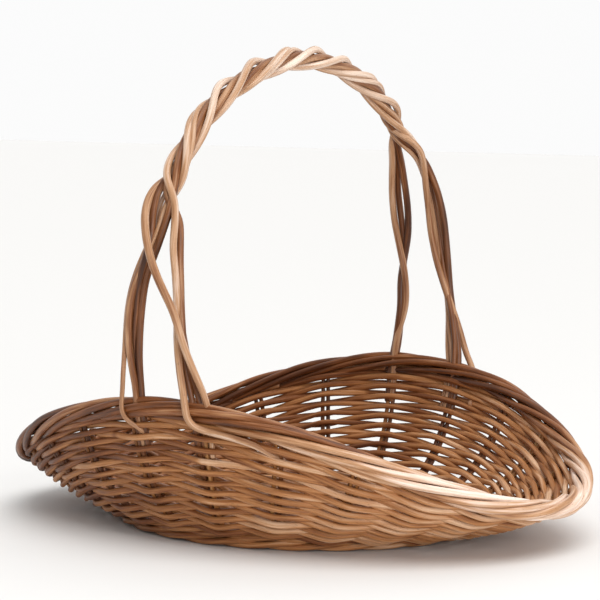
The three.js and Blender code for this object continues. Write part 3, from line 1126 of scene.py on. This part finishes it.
@dataclass
class Border:
    """The rolled rim: rods that lie down and wind once round the border's middle.

    Attributes:
        middle: The share of the wall's length at which the border's middle lies.
        turns: How often the rods wind round the middle in one round of the basket.
        uneven: How much faster they wind at the ends of the oval, and slower at its sides.
        section: How many rods lie in one cut through the border.
        ring_radius: How far the rods' middles lie from the border's middle.
        radius: The rods' middle radius.
        turn_wander: The period, in stakes, and the amount of their unevenness in winding.
        ring_wander: The same for their distance from the border's middle.
        thickness: The thinnest and the thickest rod, as shares of the radius.
        taper: The radius at a rod's start and end, as shares of its own.
        span: How many turns a rod winds, so that its end passes the next rod's start.
        tones: The range of the rods' tones.
        painted_end_light: How much paler the +X end is: painted light, for the light from the right.
        painted_end_light_from: The cosine of the angle from which that painted light starts, and the span to
            the palest.
        points: How many points a rod has.
        seed: The seed of its chance.
    """

    middle: float = 0.967
    turns: int = 6
    uneven: float = 0.2
    section: int = 6
    ring_radius: float = 5.5
    radius: float = 2.75
    turn_wander: tuple[float, float] = (5.0, 0.2)
    ring_wander: tuple[float, float] = (3.0, 0.7)
    thickness: tuple[float, float] = (0.84, 1.12)
    taper: tuple[float, float] = (1.06, 0.86)
    span: float = 1.02
    tones: tuple[float, float] = (0.08, 0.58)
    painted_end_light: float = 0.26
    painted_end_light_from: tuple[float, float] = (0.62, 0.3)
    points: int = 72
    seed: int = 37

    def winding(self, place: Array) -> Array:
        """Turns wound up to a place: T (p / N + u sin(4 pi p / N) / (4 pi))."""
        share = place / RING.count
        uneven = self.uneven * np.sin(2 * TURN * (share + 0.5 / RING.count)) / (2 * TURN)
        return self.turns * (share + uneven)

    def build(self) -> None:
        """Builds the border rods as a flat-laid rope that follows the rim.

        Rods start at equal steps of the winding, and each lies at the angle -90 degrees + 360
        degrees (turns wound since its start) round the border's middle line: from below to the
        outside, over the top and down the inside.
        """
        rng = np.random.default_rng(self.seed)
        mesh = RodMesh(corners=10)
        places = np.linspace(0, 3 * RING.count, 4000)
        wound = self.winding(places)
        since = np.linspace(0, self.span, self.points)
        for number in range(self.turns * self.section):
            place = np.interp(number / self.section + since, wound, places)
            angle = RING.angle(place)
            turn = -math.pi / 2 + TURN * since + wander(rng, place, *self.turn_wander)
            ring = self.ring_radius + wander(rng, place, *self.ring_wander)
            up, out = ring * np.sin(turn), ring * np.cos(turn)
            path = WALL.place(angle, np.full(len(place), self.middle), up=up, out=out)
            radius = self.radius * rng.uniform(*self.thickness) * np.linspace(*self.taper, len(place))
            side = WALL.axes(angle, self.middle)[2]
            # Painted light: the border's +X end is made paler where the right light falls on it.
            pale = self.painted_end_light * smooth((np.cos(angle) - self.painted_end_light_from[0]) / self.painted_end_light_from[1])
            rod = Rod.make(path, radius, side, rng.uniform(*self.tones) + pale)
            mesh.add(rod, rng.uniform(0, GRAIN_SHIFT))
        place_piece(mesh, "border_rods", Finish.BORDER, ["border_inner", "border_outer"])


@dataclass(frozen=True)
class Foot:
    """How one end of a handle rod leaves the rope and goes into the basket.

    Attributes:
        stake: The stake beside which it goes down.
        along: How far beside the stake it stands on the rim, in mm.
        out: How far out of the wall's middle it stands on the rim, in mm.
        stops: Where it lies on its way down. Each has a height, and the distances from the
            arch's line towards +X and out of the arch, in mm.
        run: How far an end that comes down outside the border runs along under it, in mm. An
            end with no run goes down through the border.
    """

    stake: int
    along: float
    out: float
    stops: tuple[tuple[float, float, float], ...]
    run: float = 0.0


@dataclass(frozen=True)
class HandleRod:
    """One rod of the handle.

    Attributes:
        ring: Its distance from the rope's middle, in mm.
        angle: Its angle round the rope at Handle.start, in degrees.
        radius: Its radius in mm.
        tone: How pale it is.
        near: Its foot on the near side.
        far: Its foot on the far side.
    """

    ring: float
    angle: float
    radius: float
    tone: float
    near: Foot
    far: Foot


# How far out of the wall's middle an end stands that comes down outside the border, in mm.
FOOT_OUT = 10.6
# The rope has three outer rods, three darker ones between them, a thin one and a core. The inner rods' darker
# tones are painted shade, for where they lie between the outer rods; the outer rods' tones are raised as a
# painted highlight. Left is towards -X. The stops run down from the rope to the rim.
HANDLE_RODS = (
    # Loops out beside the near left leg, then crosses over to the near right one.
    HandleRod(
        ring=7.2, angle=75, radius=2.9, tone=0.48,
        near=Foot(stake=18, along=7, out=0, stops=(
            (255, -13, 6), (244, -11.5, 9), (229, -6, 11), (213, 1, 12), (197, 10, 12), (187, 16, 11),
            (177, 21, 10), (162, 23.5, 8), (152, 25, 6), (144, 27.5, 5), (130, 32, 3), (118, 36, 1),
        )),
        far=Foot(stake=6, along=-1.5, out=-2.5, stops=(
            (281, -12, -3), (262, -19, -3), (245, -23.5, -3), (224, -25, -3), (204, -22.5, -3),
            (184, -19.5, -2), (166, -18.5, -1), (150, -20, 0), (135, -25, -1), (119, -27.5, -2),
        )),
    ),
    # From the near left leg to the outside of the far border.
    HandleRod(
        ring=7.1, angle=195, radius=2.8, tone=0.41,
        near=Foot(stake=17, along=5, out=2, stops=(
            (250, -0.5, 0), (236, -1, 1), (221, -8, 1), (205, -16.5, 1), (193, -21, 3), (177, -24, 5),
            (159, -26, 5), (141, -25.5, 5), (126, -24.5, 4), (114, -24.5, 2),
        )),
        far=Foot(stake=5, along=-11, out=FOOT_OUT, stops=(
            (285, 18, -5), (252, 12.5, -6), (218, 10.5, -6), (193, 14, -6), (170, 21, -5),
            (156, 25, -2), (142, 28, 3), (126, 31, 8), (115, 33, 10),
        ), run=-10),
    ),
    # Comes down outside the near border on the right, and runs along under it.
    HandleRod(
        ring=7.2, angle=315, radius=2.8, tone=0.5,
        near=Foot(stake=18, along=-6, out=FOOT_OUT, stops=(
            (247, 10, 2), (238, 12, 2), (223, 12, 2), (206, 15, 1), (186, 15, -1), (171, 14, -2),
            (157, 14, 0), (143, 16.5, 3), (130, 19.5, 6), (118, 23.5, 9),
        ), run=62),
        far=Foot(stake=5, along=4, out=2, stops=(
            (268, 9.5, 4), (243, 11.5, 5), (224, 14, 5), (200, 15, 5), (180, 17.5, 4), (164, 20.5, 2),
            (144, 22, 0), (128, 24.5, 0), (116, 26, 0),
        )),
    ),
    # Darker by painted shade, from the near left leg to the far left one.
    HandleRod(
        ring=3.8, angle=135, radius=3.0, tone=0.14,
        near=Foot(stake=17, along=2, out=-2.5, stops=(
            (260, -9.5, 3), (247, -9, 3), (230, -7, 3), (213, -11, 2), (197, -17.5, 1),
            (176, -21.5, 0), (158, -24.5, 0), (139, -26, -1), (124, -26.5, -2), (113, -26.5, -2),
        )),
        far=Foot(stake=6, along=2.5, out=0, stops=(
            (280, -7.5, 0), (256, -12, 2), (232, -13.5, 2), (211, -16, 2), (192, -21, 1),
            (174, -23.5, -2), (154, -22.5, -3), (137, -25.5, -2), (118, -30, 1),
        )),
    ),
    # Darker by painted shade, from the near left leg to the far right one.
    HandleRod(
        ring=3.7, angle=255, radius=3.0, tone=0.12,
        near=Foot(stake=17, along=9, out=-0.5, stops=(
            (251, 6, 3), (240, 3.5, 2), (222, -2.5, 1), (207, -10.5, -1), (195, -15, -2),
            (176, -18.5, -2), (158, -20.5, -1), (140, -21, 1), (125, -22, 0), (114, -21.5, 0),
        )),
        far=Foot(stake=5, along=-2.5, out=0, stops=(
            (270, 15, 0), (250, 19, 0), (229, 21, 0), (209, 21, 0), (189, 21.5, 0), (168, 22.5, 0),
            (148, 26, 0), (130, 30, 0), (116, 32, 0),
        )),
    ),
    # Darker by painted shade, from the near right leg to the far left one.
    HandleRod(
        ring=3.8, angle=15, radius=2.8, tone=0.2,
        near=Foot(stake=18, along=-5, out=1, stops=(
            (239, 13, -3), (223, 14, -4), (196, 16, -4), (182, 16, -4), (167, 17, -3), (150, 18, -2),
            (128, 20.5, 0), (116, 24, 1),
        )),
        far=Foot(stake=6, along=0.5, out=2.5, stops=(
            (278, -13, 3), (247, -21, 3), (227, -22, 3), (206, -21.5, 3), (188, -22.5, 3),
            (166, -25.5, 2), (147, -25, 2), (132, -26, 2), (118, -27, 2),
        )),
    ),
    # A thin rod that comes down outside the near border on the left.
    HandleRod(
        ring=6.9, angle=162, radius=2.0, tone=0.5,
        near=Foot(stake=17, along=-2, out=FOOT_OUT, stops=(
            (256, -9.5, -4), (244, -10.5, -5), (227, -14, -5), (211, -21, -4), (194, -26.5, -2),
            (176, -29, 1), (158, -30, 3), (141, -30.5, 6), (127, -31, 9), (115, -31.5, 10),
        ), run=10),
        far=Foot(stake=5, along=8, out=1, stops=(
            (275, 10, -3), (250, 11.5, -2), (230, 12.5, -2), (205, 13, -2), (186, 15.5, -1),
            (168, 17.5, 2), (150, 19, 3), (131, 19.5, 2), (115, 20.5, 1),
        )),
    ),
    # The rope's core, darker by painted shade.
    HandleRod(
        ring=0.3, angle=0, radius=2.4, tone=0.2,
        near=Foot(stake=18, along=0.5, out=-1, stops=(
            (239, 7, -6), (223, 9, -7), (196, 10, -8), (181, 11, -8), (163, 14, -7), (146, 19, -4),
            (128, 23.5, -2), (116, 29, -1),
        )),
        far=Foot(stake=5, along=0.5, out=-3, stops=(
            (273, 9.5, 2), (249, 12, 2), (224, 13, 2), (200, 15, 1), (183, 18.5, -2), (167, 22.5, -4),
            (146, 27.5, -4), (128, 29.5, -3), (116, 30, -3),
        )),
    ),
)


@dataclass(frozen=True)
class ArchLine:
    """The rope's middle line at even steps.

    Attributes:
        where: The distance along it.
        centre: The points.
        out: The direction across it that points away from the opening under the arch.
    """

    where: Array
    centre: Array
    out: Array

    def offset(self, ring: Array, spin: Array) -> Array:
        """The offset at an angle round the line: ring (cos(spin) X + sin(spin) out)."""
        return (ring * np.cos(spin))[:, None] * SIDEWAYS + (ring * np.sin(spin))[:, None] * self.out


# An inner end goes down through the border: the wall's shares, and shares of the foot's distance out.
INNER_TAIL = ((0.98, 1.0), (0.9, 0.5), (0.8, 0.0), (0.7, 0.0))
# An outer end comes down outside the border, bends under it, runs along and dives between two rows:
# the wall's shares, shares of the run, and distances out of the wall in mm.
OUTER_TAIL = (
    (0.99, 0.0, FOOT_OUT),
    (0.935, 0.0, FOOT_OUT),
    (0.895, 0.06, 7.6),
    (0.885, 0.2, 6.6),
    (0.878, 0.5, 6.2),
    (0.868, 0.8, 5.4),
    (0.83, 1.0, 3.2),
    (0.78, 1.12, -1.5),
)


@dataclass
class Handle:
    """An arched rope of willow rods that parts into two loose legs on each side.

    Attributes:
        height: The height of the rope's middle at the top.
        rise_shape: The power that shapes the rise.
        span_shape: The power that shapes the way across.
        bulge: How far the arch's sides bulge.
        near_bulge: How much more the near side bulges.
        start: The distance along the arch at which the rods' angles are given.
        lay: The length in which the rope twists once.
        uneven_top: How much further out the outer rods stand on the rope's upper side.
        outer_ring: The distance from the rope's middle beyond which a rod is an outer one.
        spin_wander: The period in mm and the amount of a rod's unevenness in twisting.
        ring_wander: The same for its distance from the rope's middle.
        thickness_wander: The same for its thickness.
        blend: The height over which a rod passes from the rope to its leg.
        step: The distance between points on a rod.
        easing: How many times a rod's points are eased.
        end_thinning: How much thinner a rod is at its near and far ends.
        end_length: The length over which it grows thinner.
        taper: How much thinner the far end is than the near one.
        strands: How many strands the frame has.
        seed: The seed of its chance.
    """

    height: float = 355.0
    rise_shape: float = 0.78
    span_shape: float = 1.1
    bulge: float = 0.115
    near_bulge: float = 0.045
    start: float = 117.4
    lay: float = 120.0
    uneven_top: float = 0.8
    outer_ring: float = 5.0
    spin_wander: tuple[float, float] = (230.0, 0.13)
    ring_wander: tuple[float, float] = (190.0, 0.5)
    thickness_wander: tuple[float, float] = (500.0, 0.05)
    blend: float = 22.0
    step: float = 2.5
    easing: int = 12
    end_thinning: tuple[float, float] = (0.2, 0.1)
    end_length: float = 110.0
    taper: float = 0.08
    strands: int = 4
    seed: int = 53

    def middle(self, turn: Array) -> Array:
        """The arch's middle line, from the near side over to the far side.

        Across the basket it follows a cosine to a power, plus a part of sin(2 turn) that makes
        the arch's sides bulge, and in height it follows a sine to a power.

        Args:
            turn: The way over the arch, from 0 at the near rim to pi at the far rim.

        Returns:
            The points.
        """
        near = WALL.point(RING.angle(np.array(NEAR_LEGS)), 1.0).mean(0)
        far = WALL.point(RING.angle(np.array(FAR_LEGS)), 1.0).mean(0)
        cosine = np.cos(turn)
        across = np.sign(cosine) * np.abs(cosine) ** self.span_shape
        across = across + (self.bulge + self.near_bulge * cosine) * np.sin(2 * turn)
        rise = np.maximum(np.sin(turn), 0) ** self.rise_shape
        point = mix(far, near, ((1 + across) / 2)[..., None])
        point[..., 2] += (self.height - point[..., 2]) * rise
        return point

    def arch(self) -> ArchLine:
        """The arch's middle line at even steps."""
        turn = np.linspace(0, math.pi, 2000)
        length = path_lengths(self.middle(turn))
        where = np.arange(0, length[-1], self.step)
        centre = self.middle(np.interp(where, length, turn))
        along = unit(np.gradient(centre, axis=0))
        return ArchLine(where, centre, unit(np.cross(SIDEWAYS, along)))

    def leg(self, line: ArchLine, foot: Foot) -> tuple[Array, Array]:
        """A rod's way down one side: straight from stop to stop, before the whole rod is eased.

        Args:
            line: The arch's middle line.
            foot: The stops that the rod follows.

        Returns:
            Its points, and at each point how far it has left the rope, from 0 to 1.
        """
        height = line.centre[:, 2]
        stops = np.array(foot.stops[::-1])
        across = np.interp(height, stops[:, 0], stops[:, 1])
        out = np.interp(height, stops[:, 0], stops[:, 2])
        points = line.centre + across[:, None] * SIDEWAYS + out[:, None] * line.out
        return points, smooth((stops[-1, 0] + self.blend - height) / self.blend)[:, None]

    def tail(self, foot: Foot) -> Array:
        """The end of a rod below the rim, from the rim downwards.

        Args:
            foot: How the end goes into the basket; one that has a run is an outer end.

        Returns:
            The end's points.
        """
        stops = [(share, 0.0, part * foot.out) for share, part in INNER_TAIL]
        if foot.run:
            stops = OUTER_TAIL
        angle = float(RING.angle(foot.stake))
        points = [WALL.beside(angle, share, foot.along + run * foot.run, out) for share, run, out in stops]
        return np.array(points)

    def rod_path(self, line: ArchLine, rod: HandleRod, rng: np.random.Generator) -> Array:
        """A rod's whole path: near tail, near leg, rope, far leg and far tail.

        Args:
            line: The arch's middle line.
            rod: The rod.
            rng: The seeded source of chance.

        Returns:
            The path's points.
        """
        spin = math.radians(rod.angle) + TURN * (line.where - self.start) / self.lay
        spin = spin + wander(rng, line.where, *self.spin_wander)
        lift = self.uneven_top * np.sin(spin) if rod.ring > self.outer_ring else 0.0
        ring = rod.ring + lift + wander(rng, line.where, *self.ring_wander)
        path = line.centre + line.offset(ring, spin)
        half = line.where[-1] / 2
        for foot, side in ((rod.near, line.where < half), (rod.far, line.where >= half)):
            points, left = self.leg(line, foot)
            path = np.where(side[:, None], mix(path, points, left), path)
        near_end, far_end = rod.near.stops[-1][0], rod.far.stops[-1][0]
        ends = np.where(line.where < half, near_end, far_end)
        path = path[line.centre[:, 2] >= ends]
        path = np.vstack([self.tail(rod.near)[::-1], path, self.tail(rod.far)])
        return eased_path(path, self.step, self.easing)

    def build(self) -> None:
        """Builds the rods, in as many groups as the frame has strands."""
        rng = np.random.default_rng(self.seed)
        line = self.arch()
        groups = [RodMesh(corners=12) for _ in range(self.strands)]
        near_thinning, far_thinning = self.end_thinning
        for index, rod in enumerate(HANDLE_RODS):
            path = self.rod_path(line, rod, rng)
            place = path_lengths(path)
            near_end = near_thinning * smooth(1 - place / self.end_length)
            far_end = far_thinning * smooth(1 - (place[-1] - place) / self.end_length)
            thickness = (1 - near_end - far_end) * (1 - self.taper * place / place[-1])
            radius = rod.radius * (1 + wander(rng, place, *self.thickness_wander)) * thickness
            swept = Rod.make(path, radius, SIDEWAYS, rod.tone)
            groups[index % self.strands].add(swept, rng.uniform(0, GRAIN_SHIFT))
        for number, rods in enumerate(groups, 1):
            place_piece(rods, f"handle_rods_{number}", Finish.HANDLE, [f"handle_strand_{number}"])


@dataclass
class Studio:
    """A pale floor, soft lights and the camera.

    Attributes:
        azimuth: How far the camera stands round from -Y towards +X, in radians.
        elevation: How far it stands above the target, in radians.
        distance: Its distance from the target, in metres.
        target_height: The height of the target over the middle of the base, in metres.
        lens: The focal length in mm.
        sensor: The sensor's width in mm.
        shift: The lens shift.
        front: The room's brightness in front of the basket.
        back: The room's brightness behind it.
        turnover: The depths in the room between which the one becomes the other.
        floor_half: Half the floor's width, in metres.
        floor_colour: The floor's sRGB hex colour.
        light_target: The point that the side light faces, in metres.
    """

    azimuth: float = math.radians(34.7)
    elevation: float = math.radians(6.2)
    distance: float = 2.0
    target_height: float = 0.150
    lens: float = 156.6
    sensor: float = 36.0
    shift: tuple[float, float] = (0.008, 0.0458)
    front: float = 0.3
    back: float = 0.97
    turnover: tuple[float, float] = (-0.5, 0.6)
    floor_half: float = 6.0
    floor_colour: str = "#E9E8E6"
    light_target: tuple[float, float, float] = (0.0, 0.0, 0.12)

    def build(self) -> None:
        """Builds the floor, the lights, the room and the camera."""
        self.floor()
        self.window((0.35, -0.2, 1.0), 1.9, math.radians(50))
        self.side_light((2.0, -1.3, 0.6), 1.2, 26.0)
        scene = bpy.context.scene
        scene.world = self.room()
        scene.view_settings.view_transform = "Standard"
        self.camera()

    def room(self) -> bpy.types.World:
        """The room's soft light: white behind the basket, and dimmer in front of it."""
        world = bpy.data.worlds.new("soft_room")
        world.use_nodes = True
        tree = world.node_tree
        tree.nodes.clear()
        place = add_node(tree, "ShaderNodeTexCoord").outputs["Generated"]
        turning = {"Vector": place, "Angle": -self.azimuth}
        turned = add_node(tree, "ShaderNodeVectorRotate", turning, rotation_type="Z_AXIS")
        parts = add_node(tree, "ShaderNodeSeparateXYZ", {"Vector": turned.outputs["Vector"]})
        start, end = self.turnover
        grading = {
            "Value": parts.outputs["Y"],
            "From Min": start,
            "From Max": end,
            "To Min": self.front,
            "To Max": self.back,
        }
        share = add_node(tree, "ShaderNodeMapRange", grading, interpolation_type="SMOOTHSTEP")
        glow = {"Color": (1.0, 1.0, 1.0, 1.0), "Strength": share.outputs["Result"]}
        light = add_node(tree, "ShaderNodeBackground", glow)
        add_node(tree, "ShaderNodeOutputWorld", {"Surface": light.outputs["Background"]})
        return world

    def floor(self) -> None:
        """A wide flat floor that the basket stands on, matt so that it shows no reflection."""
        half = self.floor_half
        corners = [(-half, -half, 0), (half, -half, 0), (half, half, 0), (-half, half, 0)]
        mesh = bpy.data.meshes.new("floor")
        mesh.from_pydata(corners, [], [(0, 1, 2, 3)])
        floor = bpy.data.objects.new("floor", mesh)
        bpy.context.scene.collection.objects.link(floor)
        material = bpy.data.materials.new("pale_floor")
        material.use_nodes = True
        shader = material.node_tree.nodes["Principled BSDF"]
        shader.inputs["Base Color"].default_value = linear(self.floor_colour)
        shader.inputs["Roughness"].default_value = 0.9
        mesh.materials.append(material)

    def aim(self, thing: bpy.types.Object, direction: Vector) -> None:
        """Turns a lamp or the camera to face a direction and puts it in the scene."""
        thing.rotation_mode = "QUATERNION"
        thing.rotation_quaternion = direction.to_track_quat("-Z", "Y")
        bpy.context.scene.collection.objects.link(thing)

    def window(self, place: tuple[float, float, float], strength: float, spread: float) -> None:
        """A wide, even light from one direction, with soft-edged shadows.

        Args:
            place: The direction that the light comes from.
            strength: Its strength.
            spread: The angle that it spans in the sky, in radians.
        """
        data = bpy.data.lights.new("window_light", "SUN")
        data.energy = strength
        data.angle = spread
        self.aim(bpy.data.objects.new("window_light", data), -Vector(place))

    def side_light(self, place: tuple[float, float, float], size: float, power: float) -> None:
        """An area light that faces the middle of the basket.

        Args:
            place: Where it stands, in metres.
            size: Its width, in metres.
            power: Its power in watts.
        """
        data = bpy.data.lights.new("right_light", "AREA")
        data.size = size
        data.energy = power
        lamp = bpy.data.objects.new("right_light", data)
        lamp.location = place
        self.aim(lamp, Vector(self.light_target) - Vector(place))

    def camera(self) -> None:
        """The camera, which looks at the basket from in front and a little to its right."""
        away, up = math.cos(self.elevation), math.sin(self.elevation)
        back = Vector((math.sin(self.azimuth) * away, -math.cos(self.azimuth) * away, up))
        data = bpy.data.cameras.new("camera")
        data.sensor_width = self.sensor
        data.lens = self.lens
        data.shift_x, data.shift_y = self.shift
        camera = bpy.data.objects.new("camera", data)
        camera.location = Vector((0, 0, self.target_height)) + back * self.distance
        self.aim(camera, -back)
        bpy.context.scene.camera = camera


def main() -> None:
    """Builds the basket and the studio."""
    logging.basicConfig(level=logging.INFO, format="%(name)s: %(message)s")
    for part in (Base(), FootWale(), Stakes(), Siding(), Border(), Handle(), Studio()):
        part.build()


if __name__ == "__main__":
    main()
